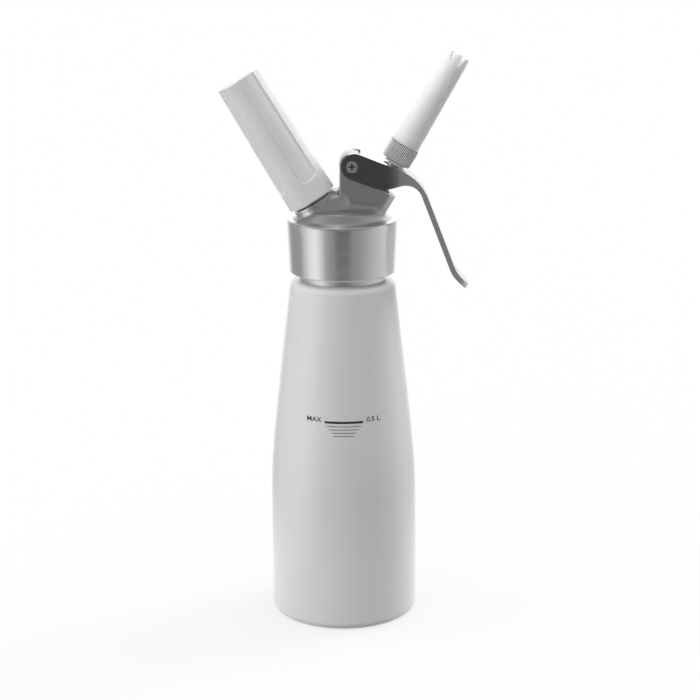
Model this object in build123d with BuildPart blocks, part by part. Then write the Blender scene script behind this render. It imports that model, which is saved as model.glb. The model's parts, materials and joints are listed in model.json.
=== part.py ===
from build123d import *
import os
from math import cos, radians, sin, sqrt, tan

# Whipped cream dispenser: aluminium bottle, screwed head, gas charger in its holder,
# lever, valve and decorator tip. Millimetres, +Z up, origin at the centre of the base.
# The lever and the tip lean towards +X, the charger holder towards -X.

# ---------------------------------------------------------------- bottle
bottle_r = 40.0            # straight body
bottle_wall = 1.5
base_thickness = 2.5
base_corner_r = 4.0
foot_groove_r = 29.0       # shallow turned groove under the base
foot_groove_width = 4.0
foot_groove_depth = 0.8
body_top_z = 66.0          # the straight body ends and the knee begins
knee_r = 37.75             # the knee ends and the taper begins
knee_z = 106.8
shoulder_r = 28.8
shoulder_z = 184.4
shoulder_run = 3.2         # rounded shoulder edge, inwards and upwards
shoulder_rise = 3.4
neck_slope = 0.7           # rise of the shoulder's top towards the neck
neck_root_r = 23.7
neck_wall = 2.3
rim_z = 213.0
rim_round = 0.7

# ---------------------------------------------------------------- neck thread
neck_pitch = 3.0
neck_turns = 2.25
thread_depth = 1.2
thread_gap = 0.4           # radial room between crests and roots
thread_bite = 0.3          # how far a ridge is let into its wall
thread_root_width = 1.35
thread_crest_width = 0.7
neck_thread_drop = 12.0    # start of the outside ridge, below the rim

# ---------------------------------------------------------------- head
gasket_thickness = 2.5
gasket_wall = 3.6
skirt_wall = 3.2
skirt_height = 29.0
skirt_flare = 1.35         # the skirt is wider at the top
skirt_round = 1.4
skirt_foot_chamfer = 0.8
roof_height = 7.9          # skirt top above the bottle rim
dish_r = 20.0              # hollow under the roof
dish_height = 3.6
dome_inset = 5.8           # from the skirt top edge to the foot of the dome
dome_height = 5.0
dome_run = 4.4
dome_crown = 0.6
casting_round = 1.5        # where the arm and the boss grow out of the dome

# ---------------------------------------------------------------- tilted axes
tilt = 31.0                # both ports lean by this from the bottle axis
hub_drop = 16.4            # crossing point of the axes, below the skirt top

# ---------------------------------------------------------------- charger port
port_r = 12.0
port_face = 30.0           # along the gas axis, from the crossing point
spigot_height = 15.0
spigot_thread_depth = 0.8
spigot_wall = 5.0
gas_pitch = 2.0
gas_turns = 4.0
gas_thread_start = 4.5     # start of the spigot's ridge, above the port face
charger_neck_r = 4.4
neck_fit = 0.35            # room round the charger's neck
neck_engagement = 7.0      # depth of the charger's neck in the spigot
charger_seal_thickness = 0.8
pin_plug_length = 6.5
pin_nozzle_r = 1.9
pin_nozzle_length = 5.6
needle_r = 1.0
needle_length = 4.3
gas_hole_r = 0.45
sleeve_wall = 0.8
valve_room_r = 3.4
valve_room_length = 8.0
gas_way_r = 1.5
press_gap = 0.05           # room between nested parts of one body

# ---------------------------------------------------------------- gas charger
charger_length = 65.5
charger_r = 9.0
charger_wall = 1.9
charger_neck_length = 8.5
charger_shoulder = 7.0
charger_neck_wall = 1.0
cap_thickness = 0.5
cap_recess = 0.5
cap_hole_gap = 0.2

# ---------------------------------------------------------------- charger holder
holder_gap = 1.7           # between the port's and the holder's faces
holder_base_r = 13.6
holder_end_r = 12.35
holder_end_wall = 1.9
holder_cap_fall = 1.5      # the end slopes down by this towards its rim
holder_cap_run = 3.6
holder_bore_gap = 0.6      # round the charger
holder_mouth_round = 0.6
pad_thickness = 1.5
pad_r = 6.0
pad_gap = 0.1
insert_length = 10.6
insert_wall = 1.35
insert_recess = 0.4
panel_count = 4
panel_span = 50.0          # degrees of the base's outline that one sunk panel takes
panel_depth = 0.7
panel_lean = 30.0          # of the panel's sides, outwards
panel_start = 10.0         # from the holder's base; the other end runs out in the cap
panel_corner_r = 1.5
panel_turn = 25.5          # where the first panel lies
panel_foot = 10.0          # inner face of the cutting tool, from the gas axis

# ---------------------------------------------------------------- valve port
boss_r = 10.0
boss_top = 38.6            # along the spout axis, from the crossing point
arm_half_width = 7.5
boss_gusset = 30.9         # where the arm's front joins the boss, along the spout axis
port_web_half_width = 5.0  # metal that fills the corner between the port and the arm
recess_left_x = -1.0       # shallow recess in each flat of the arm, above the dome
recess_left_rise = 13.1    # above the skirt top
recess_right_x = 16.5
recess_right_rise = 8.1
recess_floor_rise = 5.6
recess_depth = 0.8
annulus_r = 4.2            # cream way round the stem
seat_top = 12.0            # face of the valve seat
seat_r = 8.0
seat_length = 9.0
chamber_r = 6.0
chamber_length = 14.6
bush_length = 7.0
stem_r = 3.2
stem_bore_r = 1.9
stem_run = 0.06            # running clearance of the stem
stem_end = 59.5
cross_hole_r = 1.2
cross_hole_wall = 1.0      # between the cross hole and the valve seat
valve_head_r = 5.4
valve_head_thickness = 2.0
valve_seal_thickness = 1.4
ring_r = 0.65              # section of an O-ring
ring_spacing = 3.4
spring_mean_r = 4.9
spring_wire = 0.9
spring_turns = 5.0
flange_r = 5.6
flange_thickness = 1.3
flange_s = 44.9
washer_r = 6.4
washer_thickness = 1.0
nut_r = 6.2
nut_thickness = 1.5

# ---------------------------------------------------------------- lever
pivot_x = 5.1
pivot_rise = 29.1          # pivot above the skirt top
arm_end_r = 6.7
cheek_gap = 0.3            # between a cheek and the arm
cheek_thickness = 2.5
cheek_end_x = 1.3          # centre of the cheek's round end, from the pivot
cheek_end_z = -0.1
cheek_end_r = 7.0
web_thickness = 2.8
web_start = 2.0            # from the pivot, along the top of the lever
web_end_gap = 0.4          # between the web and the arm's round end
top_angle = 21.7           # slope of the lever's top line
under_angle = 20.2         # slope of its lower line near the pivot
heel_x = 16.1              # corner of the lower outline, from the pivot
heel_z = -13.1
heel_r = 18.0
throat_x = 33.86           # corner where the blade turns down
throat_z = -8.3
throat_r = 9.2
bend_r = 27.0
flare_x = 53.4             # corner where the blade's end turns out
flare_z = -59.3
flare_r = 16.0
flare_angle = 45.0
flare_length = 9.8
blade_thickness = 2.8
blade_half_width = 8.8
blade_tip_round = 4.5
channel_end = 25.6         # from the pivot, in X
nub_r = 1.6
nub_gap = 0.05
slot_half_width = 3.9
slot_back = 5.6
slot_front = 3.9
sleeve_r = 2.6
sleeve_run = 0.08
screw_head_r = 3.0
screw_head_thickness = 1.2
screw_pocket_gap = 0.3
screw_shank_r = 1.5
screw_shank_length = 9.0
driver_slot_width = 0.8
driver_slot_length = 3.6
driver_slot_depth = 0.8

# ---------------------------------------------------------------- adaptor and tip
adaptor_r = 8.2
adaptor_length = 10.0
knurl_count = 60
knurl_depth = 0.35
adaptor_round = 0.5
adaptor_thread_length = 4.6
tip_washer_thickness = 1.0
tip_washer_r = 4.6
tip_spigot_r = 6.0
tip_base_r = 7.65
tip_end_r = 6.0
tip_length = 54.8
tip_wall = 1.3
tip_mouth_r = 3.0
notch_pairs = 3
notch_depth = 7.0
notch_width = 3.4
notch_turn = 20.0

# ---------------------------------------------------------------- derived places
neck_crest_r = neck_root_r + thread_depth
neck_bore_r = neck_root_r - neck_wall
skirt_top_z = rim_z + roof_height
skirt_foot_z = skirt_top_z - skirt_height
gasket_top_z = rim_z + gasket_thickness
cavity_r = neck_crest_r + thread_gap
skirt_foot_r = cavity_r + skirt_wall
skirt_top_r = skirt_foot_r + skirt_flare
hub = Vector(0, 0, skirt_top_z - hub_drop)
lean = radians(tilt)
gas_dir = Vector(-sin(lean), 0, cos(lean))
spout_dir = Vector(sin(lean), 0, cos(lean))
gas_line = Axis(hub, gas_dir)
spout_line = Axis(hub, spout_dir)
gas_section = Plane(origin=hub, x_dir=(cos(lean), 0, sin(lean)), z_dir=(0, -1, 0))
spout_section = Plane(origin=hub, x_dir=(cos(lean), 0, -sin(lean)), z_dir=(0, -1, 0))
pivot = Vector(pivot_x, 0, skirt_top_z + pivot_rise)
cheek_inner = arm_half_width + cheek_gap
lever_half_width = cheek_inner + cheek_thickness
screw_seat = lever_half_width - screw_head_thickness

spigot_bore_r = charger_neck_r + neck_fit
spigot_root_r = spigot_bore_r + spigot_wall
spigot_crest_r = spigot_root_r + spigot_thread_depth
spigot_end = port_face + spigot_height
charger_start = spigot_end - neck_engagement
plug_end = charger_start - charger_seal_thickness
plug_start = plug_end - pin_plug_length
charger_end = charger_start + charger_length
holder_start = port_face + holder_gap
holder_bore_r = charger_r + holder_bore_gap
holder_bore_end = charger_end + pad_thickness
holder_end = holder_bore_end + holder_end_wall
holder_rim = holder_end - holder_cap_fall
insert_start = holder_start + insert_recess
insert_end = insert_start + insert_length
insert_bore_r = spigot_crest_r + thread_gap
insert_r = insert_bore_r + insert_wall

chamber_floor = boss_top - chamber_length
bush_top = chamber_floor + bush_length
flange_top = flange_s + flange_thickness
washer_top = flange_top + washer_thickness
adaptor_start = stem_end - adaptor_thread_length
adaptor_end = adaptor_start + adaptor_length
nut_start = adaptor_start - nut_thickness
tip_seat = stem_end + tip_washer_thickness
tip_end = adaptor_end + tip_length


def gas_level(s):
    """Plane across the gas axis, s from the crossing point, facing outwards."""
    return Plane(origin=hub + gas_dir * s, x_dir=(0, -1, 0), z_dir=gas_dir)


def spout_level(s):
    """Plane across the spout axis, s from the crossing point, facing outwards."""
    return Plane(origin=hub + spout_dir * s, x_dir=(0, -1, 0), z_dir=spout_dir)


def pivot_level(d):
    """Plane across the lever's pivot, d in front of the middle, facing the front."""
    return Plane(origin=pivot - Vector(0, d, 0), x_dir=(1, 0, 0), z_dir=(0, -1, 0))


def ring(plane, outer_r, inner_r, length):
    """Add a tube or washer that stands on the plane."""
    with BuildSketch(plane) as profile:
        Circle(outer_r)
        Circle(inner_r, mode=Mode.SUBTRACT)
    extrude(profile.sketch, amount=length)


def bore(plane, radius, length):
    """Cut a round hole from the plane along its normal."""
    with BuildSketch(plane) as profile:
        Circle(radius)
    extrude(profile.sketch, amount=length, mode=Mode.SUBTRACT)


def coil_path(plane, radius, pitch, turns):
    """Helix that starts on the plane and rises along its normal."""
    with BuildLine() as coil:
        Helix(pitch, pitch * turns, radius)
    return coil.line.moved(plane.location)


def ridge(plane, wall_r, depth, pitch, turns):
    """Add a thread ridge on a round wall; a negative depth points inwards."""
    bite = thread_bite if depth > 0 else -thread_bite
    path = coil_path(plane, wall_r, pitch, turns)
    start = path @ 0
    radial = (start - plane.origin).normalized()
    share = abs(depth) / thread_depth
    with BuildSketch(Plane(origin=start, x_dir=radial, z_dir=path % 0)) as profile:
        Polygon(
            (-bite, -thread_root_width * share / 2),
            (depth, -thread_crest_width * share / 2),
            (depth, thread_crest_width * share / 2),
            (-bite, thread_root_width * share / 2),
            align=None,
        )
    sweep(profile.sketch, path=path, is_frenet=True)


def bottle_half(inset, floor_z, neck_r):
    """Half section of the bottle, drawn inside its outer skin by the inset."""
    wall_r = bottle_r - inset
    corner = base_corner_r - inset
    with BuildSketch(Plane.XZ) as half:
        with BuildLine():
            floor = Line((0, floor_z), (wall_r - corner, floor_z))
            foot = TangentArc(floor @ 1, (wall_r, floor_z + corner), tangent=(1, 0))
            side = Line(foot @ 1, (wall_r, body_top_z))
            knee = TangentArc(side @ 1, (knee_r - inset, knee_z), tangent=(0, 1))
            taper = TangentArc(knee @ 1, (shoulder_r - inset, shoulder_z), tangent=knee % 1)
            edge_r = shoulder_r - shoulder_run - inset / 2
            edge_z = shoulder_z + shoulder_rise - inset
            edge = TangentArc(taper @ 1, (edge_r, edge_z), tangent=taper % 1)
            slope = Line(edge @ 1, (neck_r, edge_z + neck_slope))
            Polyline(slope @ 1, (neck_r, rim_z), (0, rim_z), (0, floor_z))
        make_face()
    return half.sketch


# ================================================================ bottle
with BuildPart() as bottle:
    revolve(bottle_half(0, 0, neck_root_r), axis=Axis.Z)
    revolve(bottle_half(bottle_wall, base_thickness, neck_bore_r), axis=Axis.Z, mode=Mode.SUBTRACT)
    rim_edges = bottle.edges().filter_by(GeomType.CIRCLE).group_by(Axis.Z)[-1]
    fillet(rim_edges, rim_round)
    with BuildSketch(Plane.XY):
        Circle(foot_groove_r + foot_groove_width / 2)
        Circle(foot_groove_r - foot_groove_width / 2, mode=Mode.SUBTRACT)
    extrude(amount=foot_groove_depth, mode=Mode.SUBTRACT)
    thread_start = Plane.XY.offset(rim_z - neck_thread_drop)
    ridge(thread_start, neck_root_r, thread_depth, neck_pitch, neck_turns)

# ================================================================ head gasket
with BuildPart() as head_gasket:
    gasket_r = neck_crest_r - thread_gap
    ring(Plane.XY.offset(rim_z), gasket_r, gasket_r - gasket_wall, gasket_thickness)

# ================================================================ head casting
dome_foot_r = skirt_top_r - dome_inset
dome_top_r = dome_foot_r - dome_run
dome_top_z = skirt_top_z + dome_height
with BuildPart() as head_casting:
    # skirt, roof and dome
    with BuildSketch(Plane.XZ):
        with BuildLine():
            Polyline(
                (0, skirt_foot_z),
                (skirt_foot_r, skirt_foot_z),
                (skirt_top_r, skirt_top_z),
                (dome_foot_r, skirt_top_z),
                (dome_top_r, dome_top_z),
                (0, dome_top_z + dome_crown),
                close=True,
            )
        make_face()
    revolve(axis=Axis.Z)
    foot_edge = head_casting.edges().filter_by(GeomType.CIRCLE).group_by(Axis.Z)[0]
    chamfer(foot_edge, skirt_foot_chamfer)
    outer_edge = head_casting.edges().filter_by(GeomType.CIRCLE).sort_by(SortBy.RADIUS)[-1]
    fillet(outer_edge, skirt_round)
    # charger port
    with BuildSketch(gas_level(0)):
        Circle(port_r)
    extrude(amount=port_face)
    # lever arm
    boss_corner = hub + spout_dir * boss_top - Vector(cos(lean), 0, -sin(lean)) * boss_r
    gusset = hub + spout_dir * boss_gusset
    with BuildSketch(Plane.XZ):
        with BuildLine():
            left_top = (pivot.X - arm_end_r, pivot.Z)
            right_top = (pivot.X + arm_end_r, pivot.Z)
            ThreePointArc(left_top, (pivot.X, pivot.Z + arm_end_r), right_top)
            Polyline(
                right_top,
                (pivot.X + arm_end_r, boss_corner.Z),
                (gusset.X, gusset.Z),
                (hub.X, hub.Z),
                (pivot.X - arm_end_r, hub.Z),
                left_top,
            )
        make_face()
    extrude(amount=arm_half_width, both=True)
    # web from the port's rim to the arm
    port_corner = hub + gas_dir * port_face + Vector(cos(lean), 0, sin(lean)) * port_r
    with BuildSketch(Plane.XZ):
        with BuildLine():
            Polyline(
                (port_corner.X, port_corner.Z),
                (pivot.X, port_corner.Z),
                (hub.X, hub.Z),
                close=True,
            )
        make_face()
    extrude(amount=port_web_half_width, both=True)
    # valve boss, flattened to pass between the lever's cheeks
    with BuildSketch(spout_level(0)):
        Circle(boss_r)
        Rectangle(2 * arm_half_width, 2 * boss_r, mode=Mode.INTERSECT)
    extrude(amount=boss_top)
    flat_feet = head_casting.edges().filter_by(GeomType.HYPERBOLA).group_by(Axis.Y)
    boss_foot = head_casting.edges().filter_by(GeomType.BSPLINE).sort_by(Axis.X)[-1]
    fillet(flat_feet[0] + flat_feet[-1] + [boss_foot], casting_round)
    for side in (-1, 1):
        with BuildSketch(Plane.XZ.offset(side * arm_half_width)):
            with BuildLine():
                Polyline(
                    (recess_left_x, skirt_top_z + recess_floor_rise),
                    (recess_left_x, skirt_top_z + recess_left_rise),
                    (recess_right_x, skirt_top_z + recess_right_rise),
                    (recess_right_x, skirt_top_z + recess_floor_rise),
                    close=True,
                )
            make_face()
        extrude(amount=-side * recess_depth, mode=Mode.SUBTRACT)
    # hollow for the neck and dish under the roof
    bore(Plane.XY.offset(skirt_foot_z), cavity_r, gasket_top_z - skirt_foot_z)
    bore(Plane.XY.offset(gasket_top_z), dish_r, dish_height)
    # valve seat under the roof
    ring(spout_level(seat_top), seat_r, annulus_r, seat_length)
    bore(spout_level(seat_top), annulus_r, boss_top - seat_top)
    bore(spout_level(chamber_floor), chamber_r, chamber_length)
    # spigot that the charger holder screws on to
    ring(gas_level(port_face), spigot_root_r, spigot_bore_r, spigot_height)
    bore(gas_level(plug_start), spigot_bore_r, spigot_end - plug_start)
    bore(gas_level(plug_start - valve_room_length), valve_room_r, valve_room_length)
    bore(gas_level(0), gas_way_r, plug_start)
    # bore for the lever's pivot
    bore(pivot_level(-arm_half_width), sleeve_r + press_gap, 2 * arm_half_width)
    # inside thread, half a pitch from the bottle's
    inner_thread = Plane.XY.offset(rim_z - neck_thread_drop - 1.5 * neck_pitch)
    ridge(inner_thread, cavity_r, -thread_depth, neck_pitch, neck_turns)
    spigot_thread = gas_level(port_face + gas_thread_start)
    ridge(spigot_thread, spigot_root_r, spigot_thread_depth, gas_pitch, gas_turns)


# ================================================================ piercing pin and its seals
with BuildPart() as piercing_pin:
    ring(gas_level(plug_start), spigot_bore_r - press_gap, gas_hole_r, pin_plug_length)
    ring(gas_level(plug_end), needle_r, gas_hole_r, needle_length)
    ring(gas_level(plug_start - pin_nozzle_length), pin_nozzle_r, gas_hole_r, pin_nozzle_length)
    needle_edge = piercing_pin.edges().filter_by(GeomType.CIRCLE).sort_by(gas_line)[-2:]
    chamfer(needle_edge.sort_by(SortBy.RADIUS)[-1], needle_r - gas_hole_r - press_gap)

with BuildPart() as charger_seal:
    seal_bore_r = needle_r + cap_hole_gap
    ring(gas_level(plug_end), spigot_bore_r - press_gap, seal_bore_r, charger_seal_thickness)

with BuildPart() as check_valve_sleeve:
    sleeve_start = gas_level(plug_start - pin_nozzle_length + press_gap)
    sleeve_inner_r = pin_nozzle_r + press_gap
    ring(sleeve_start, sleeve_inner_r + sleeve_wall, sleeve_inner_r, pin_nozzle_length - 2 * press_gap)


# ================================================================ gas charger
def charger_half(inset, neck_r):
    """Half section of the gas charger, drawn inside its skin by the inset."""
    wall_r = charger_r - inset
    shoulder_s = charger_start + charger_neck_length
    body_s = shoulder_s + charger_shoulder
    dome_s = charger_end - charger_r
    with BuildSketch(gas_section) as half:
        with BuildLine():
            Polyline((0, dome_s + wall_r), (0, charger_start), (neck_r, charger_start))
            Line((neck_r, charger_start), (neck_r, shoulder_s + inset / 2))
            TangentArc((wall_r, body_s), (neck_r, shoulder_s + inset / 2), tangent=(0, -1))
            Line((wall_r, body_s), (wall_r, dome_s))
            TangentArc((wall_r, dome_s), (0, dome_s + wall_r), tangent=(0, 1))
        make_face()
    return half.sketch


with BuildPart() as gas_charger:
    neck_inner_r = charger_neck_r - charger_neck_wall
    revolve(charger_half(0, charger_neck_r), axis=gas_line)
    revolve(charger_half(charger_wall, neck_inner_r), axis=gas_line, mode=Mode.SUBTRACT)

with BuildPart() as charger_cap:
    cap_start = gas_level(charger_start + cap_recess)
    ring(cap_start, neck_inner_r - press_gap, needle_r + cap_hole_gap, cap_thickness)

# ================================================================ charger holder
def holder_r(s):
    """Outside radius of the holder at a place along the gas axis."""
    return holder_base_r + (holder_end_r - holder_base_r) * (s - holder_start) / (holder_rim - holder_start)


panel_side_level = holder_base_r * cos(radians(panel_span / 2))
panel_side = holder_base_r * sin(radians(panel_span / 2))
panel_side -= (panel_side_level - panel_foot) * tan(radians(panel_lean))
panel_from = holder_start + panel_start + (holder_base_r - panel_foot) * tan(radians(panel_lean))
panel_past = holder_end + holder_cap_fall
panel_length = panel_past - panel_from
with BuildPart() as panel:
    panel_middle = hub + gas_dir * (panel_from + panel_length / 2) + Vector(0, -panel_foot, 0)
    with BuildSketch(Plane(origin=panel_middle, x_dir=gas_dir, z_dir=(0, -1, 0))) as above:
        Rectangle(panel_length, 2 * panel_side)
        fillet(above.vertices().group_by(Axis.X)[0], panel_corner_r)
    extrude(amount=holder_base_r - panel_foot + panel_depth, taper=-panel_lean)
    with BuildSketch(gas_section):
        with BuildLine():
            Polyline(
                (0, holder_start),
                (holder_base_r - panel_depth, holder_start),
                (holder_r(panel_past) - panel_depth, panel_past),
                (0, panel_past),
                close=True,
            )
        make_face()
    revolve(axis=gas_line, mode=Mode.SUBTRACT)

with BuildPart() as charger_holder:
    with BuildSketch(gas_section):
        with BuildLine():
            Polyline(
                (0, holder_bore_end),
                (0, holder_end),
                (holder_end_r - holder_cap_run, holder_end),
                (holder_end_r, holder_rim),
                (holder_base_r, holder_start),
                (insert_r + press_gap, holder_start),
                (insert_r + press_gap, insert_end),
                (insert_bore_r, insert_end),
                (insert_bore_r, spigot_end + holder_gap),
                (holder_bore_r, spigot_end + holder_gap),
                (holder_bore_r, holder_bore_end),
                close=True,
            )
        make_face()
    revolve(axis=gas_line)
    holder_edges = charger_holder.edges().filter_by(GeomType.CIRCLE)
    fillet(holder_edges.sort_by(gas_line)[-1], holder_mouth_round)
    for index in range(panel_count):
        turned = panel.part.rotate(gas_line, panel_turn + index * 360 / panel_count)
        add(turned, mode=Mode.SUBTRACT)

with BuildPart() as holder_insert:
    ring(gas_level(insert_start), insert_r, insert_bore_r, insert_length)
    insert_thread = gas_level(port_face + gas_thread_start - gas_pitch / 2)
    ridge(insert_thread, insert_bore_r, -spigot_thread_depth, gas_pitch, gas_turns)

with BuildPart() as holder_pad:
    ring(gas_level(charger_end + pad_gap), pad_r, charger_neck_r / 2, pad_thickness - pad_gap)


# ================================================================ lever
def from_pivot(u, v):
    """Point of the side view, u along the lever's top line and v square to it."""
    slope = radians(top_angle)
    return Vector(
        pivot.X + u * cos(slope) + v * sin(slope),
        pivot.Z - u * sin(slope) + v * cos(slope),
    )


def meet(p, along, q, across):
    """Point where the line from p along one way crosses the line from q."""
    cross = along.X * across.Y - along.Y * across.X
    gap = q - p
    share = (gap.X * across.Y - gap.Y * across.X) / cross
    return p + along * share


def heading(angle):
    """Unit step of the side view that falls by the angle."""
    return Vector(cos(radians(angle)), -sin(radians(angle)))


def square(step):
    """Unit step to the left of another one, which is the lever's upper side."""
    return Vector(-step.Y, step.X)


cheek_end = Vector(pivot.X + cheek_end_x, pivot.Z + cheek_end_z)
heel = Vector(pivot.X + heel_x, pivot.Z + heel_z)
throat = Vector(pivot.X + throat_x, pivot.Z + throat_z)
flare = Vector(pivot.X + flare_x, pivot.Z + flare_z)
top_step = heading(top_angle)
under_step = heading(under_angle)
blade_step = (flare - throat).normalized()
flare_step = heading(flare_angle)
top_tangent = cheek_end + square(top_step) * cheek_end_r
under_tangent = cheek_end - square(under_step) * cheek_end_r
blade_outer = flare + square(blade_step) * blade_thickness
flare_outer = flare + square(flare_step) * blade_thickness
bend = meet(top_tangent, top_step, blade_outer, blade_step)
flare_corner = meet(blade_outer, blade_step, flare_outer, flare_step)
tip_inner = flare + flare_step * flare_length
tip_outer = tip_inner + square(flare_step) * blade_thickness
web_under = (top_tangent - Vector(pivot.X, pivot.Z)).dot(square(top_step)) - web_thickness
nub_s = washer_top + nub_gap + nub_r

with BuildPart() as lever:
    with BuildSketch(Plane.XZ) as side:
        with BuildLine():
            Polyline(
                top_tangent, bend, flare_corner, tip_outer, tip_inner, flare, throat, heel, under_tangent
            )
            ThreePointArc(under_tangent, cheek_end - Vector(cheek_end_r, 0), top_tangent)
        make_face()
        for corner, radius in (
            (bend, bend_r),
            (throat, throat_r),
            (heel, heel_r),
            (flare, flare_r),
            (flare_corner, flare_r + blade_thickness),
        ):
            fillet(side.vertices().sort_by_distance(corner)[0], radius)
    extrude(amount=lever_half_width, both=True)
    # outline from above
    cheek_far = pivot.X - 2 * cheek_end_r
    with BuildSketch(Plane.XY) as above:
        with BuildLine():
            Polyline(
                (cheek_far, lever_half_width),
                (throat.X - throat_r, lever_half_width),
                (bend.X + throat_r, blade_half_width),
                (tip_outer.X, blade_half_width),
                (tip_outer.X, -blade_half_width),
                (bend.X + throat_r, -blade_half_width),
                (throat.X - throat_r, -lever_half_width),
                (cheek_far, -lever_half_width),
                close=True,
            )
        make_face()
        fillet(above.vertices().group_by(Axis.X)[-1], blade_tip_round)
    extrude(amount=2 * pivot.Z, mode=Mode.INTERSECT)
    # channel between the cheeks, open round the arm
    channel_depth = 2 * cheek_end_r
    channel_x = pivot.X + channel_end
    with BuildSketch(Plane.XZ):
        with BuildLine():
            room_r = arm_end_r + web_end_gap
            web_top = from_pivot(web_start, sqrt(room_r**2 - web_start**2))
            web_left = from_pivot(sqrt(room_r**2 - web_under**2), web_under)
            web_right = meet(web_left, top_step, Vector(channel_x, pivot.Z), Vector(0, 1))
            web_middle = (web_top + web_left) / 2 - Vector(pivot.X, pivot.Z)
            ThreePointArc(web_top, Vector(pivot.X, pivot.Z) + web_middle.normalized() * room_r, web_left)
            Polyline(
                web_left,
                web_right,
                (channel_x, pivot.Z - channel_depth * 2),
                (cheek_far, pivot.Z - channel_depth * 2),
                (cheek_far, pivot.Z + channel_depth),
                from_pivot(web_start, channel_depth),
                web_top,
            )
        make_face()
    extrude(amount=cheek_inner, both=True, mode=Mode.SUBTRACT)
    # rounded nubs that press on the stem's washer
    nub_centre = hub + spout_dir * nub_s
    with BuildSketch(Plane.XZ):
        with Locations((nub_centre.X, nub_centre.Z)):
            Circle(nub_r)
    extrude(amount=cheek_inner, both=True)
    # slot for the stem
    with BuildSketch(spout_level(nub_s - 2 * nub_r)):
        with Locations((0, (slot_front - slot_back) / 2)):
            SlotOverall(slot_front + slot_back, 2 * slot_half_width, rotation=90)
    extrude(amount=4 * nub_r + 2 * web_thickness, mode=Mode.SUBTRACT)
    # pivot holes and pockets for the screw heads
    bore(pivot_level(-lever_half_width), sleeve_r + sleeve_run, 2 * lever_half_width)
    pocket_r = screw_head_r + screw_pocket_gap
    pocket_depth = screw_head_thickness + press_gap
    bore(pivot_level(lever_half_width - pocket_depth), pocket_r, pocket_depth)
    bore(pivot_level(-lever_half_width), pocket_r, pocket_depth)

# ================================================================ lever pivot
with BuildPart() as pivot_sleeve_nut:
    ring(pivot_level(-screw_seat), sleeve_r, screw_shank_r + press_gap, 2 * screw_seat)
    ring(pivot_level(-lever_half_width), screw_head_r, screw_shank_r + press_gap, screw_head_thickness)

with BuildPart() as pivot_screw:
    with BuildSketch(pivot_level(screw_seat)):
        Circle(screw_head_r)
    extrude(amount=screw_head_thickness)
    with BuildSketch(pivot_level(screw_seat)):
        Circle(screw_shank_r)
    extrude(amount=-screw_shank_length)
    with BuildSketch(pivot_level(lever_half_width)):
        Rectangle(driver_slot_length, driver_slot_width)
        Rectangle(driver_slot_width, driver_slot_length)
    extrude(amount=-driver_slot_depth, mode=Mode.SUBTRACT)

# ================================================================ valve
head_start = seat_top - valve_seal_thickness - valve_head_thickness
cross_hole_s = seat_top + cross_hole_r + cross_hole_wall
with BuildPart() as valve_stem:
    with BuildSketch(spout_level(head_start)):
        Circle(stem_r)
    extrude(amount=stem_end - head_start)
    ring(spout_level(flange_s), flange_r, stem_bore_r, flange_thickness)
    bore(spout_level(cross_hole_s), stem_bore_r, stem_end - cross_hole_s)
    with BuildSketch(Plane(origin=hub + spout_dir * cross_hole_s, z_dir=(0, -1, 0))):
        Circle(cross_hole_r)
    extrude(amount=2 * stem_r, both=True, mode=Mode.SUBTRACT)

with BuildPart() as valve_head:
    ring(spout_level(head_start), valve_head_r, stem_r + press_gap, valve_head_thickness)

with BuildPart() as valve_seal:
    seal_start = spout_level(seat_top - valve_seal_thickness)
    ring(seal_start, valve_head_r - 4 * press_gap, stem_r + press_gap, valve_seal_thickness)

ring_places = (
    chamber_floor + bush_length / 2 - ring_spacing / 2,
    chamber_floor + bush_length / 2 + ring_spacing / 2,
)
ring_centre_r = stem_r + press_gap + ring_r
with BuildPart() as stem_o_rings:
    with BuildSketch(spout_section):
        with Locations(*[(ring_centre_r, place) for place in ring_places]):
            Circle(ring_r)
    revolve(axis=spout_line)

with BuildPart() as guide_bush:
    ring(spout_level(chamber_floor), chamber_r - press_gap, stem_r + stem_run, bush_length)
    groove_side = 2 * (ring_r + press_gap)
    with BuildSketch(spout_section):
        with Locations(*[(ring_centre_r, place) for place in ring_places]):
            Rectangle(groove_side, groove_side)
    revolve(axis=spout_line, mode=Mode.SUBTRACT)

with BuildPart() as valve_spring:
    spring_start = spout_level(bush_top + spring_wire / 2 + press_gap)
    spring_height = flange_s - bush_top - spring_wire - 2 * press_gap
    spring_path = coil_path(spring_start, spring_mean_r, spring_height / spring_turns, spring_turns)
    with BuildSketch(Plane(origin=spring_path @ 0, z_dir=spring_path % 0)):
        Circle(spring_wire / 2)
    sweep(path=spring_path, is_frenet=True)

with BuildPart() as press_washer:
    ring(spout_level(flange_top), washer_r, stem_r + press_gap, washer_thickness)

with BuildPart() as stem_nut:
    with BuildSketch(spout_level(nut_start)):
        RegularPolygon(nut_r, 6)
        Circle(stem_r + press_gap, mode=Mode.SUBTRACT)
    extrude(amount=nut_thickness)

# ================================================================ adaptor and decorator tip
with BuildPart() as adaptor_washer:
    ring(spout_level(stem_end), tip_washer_r, stem_bore_r, tip_washer_thickness)

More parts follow.
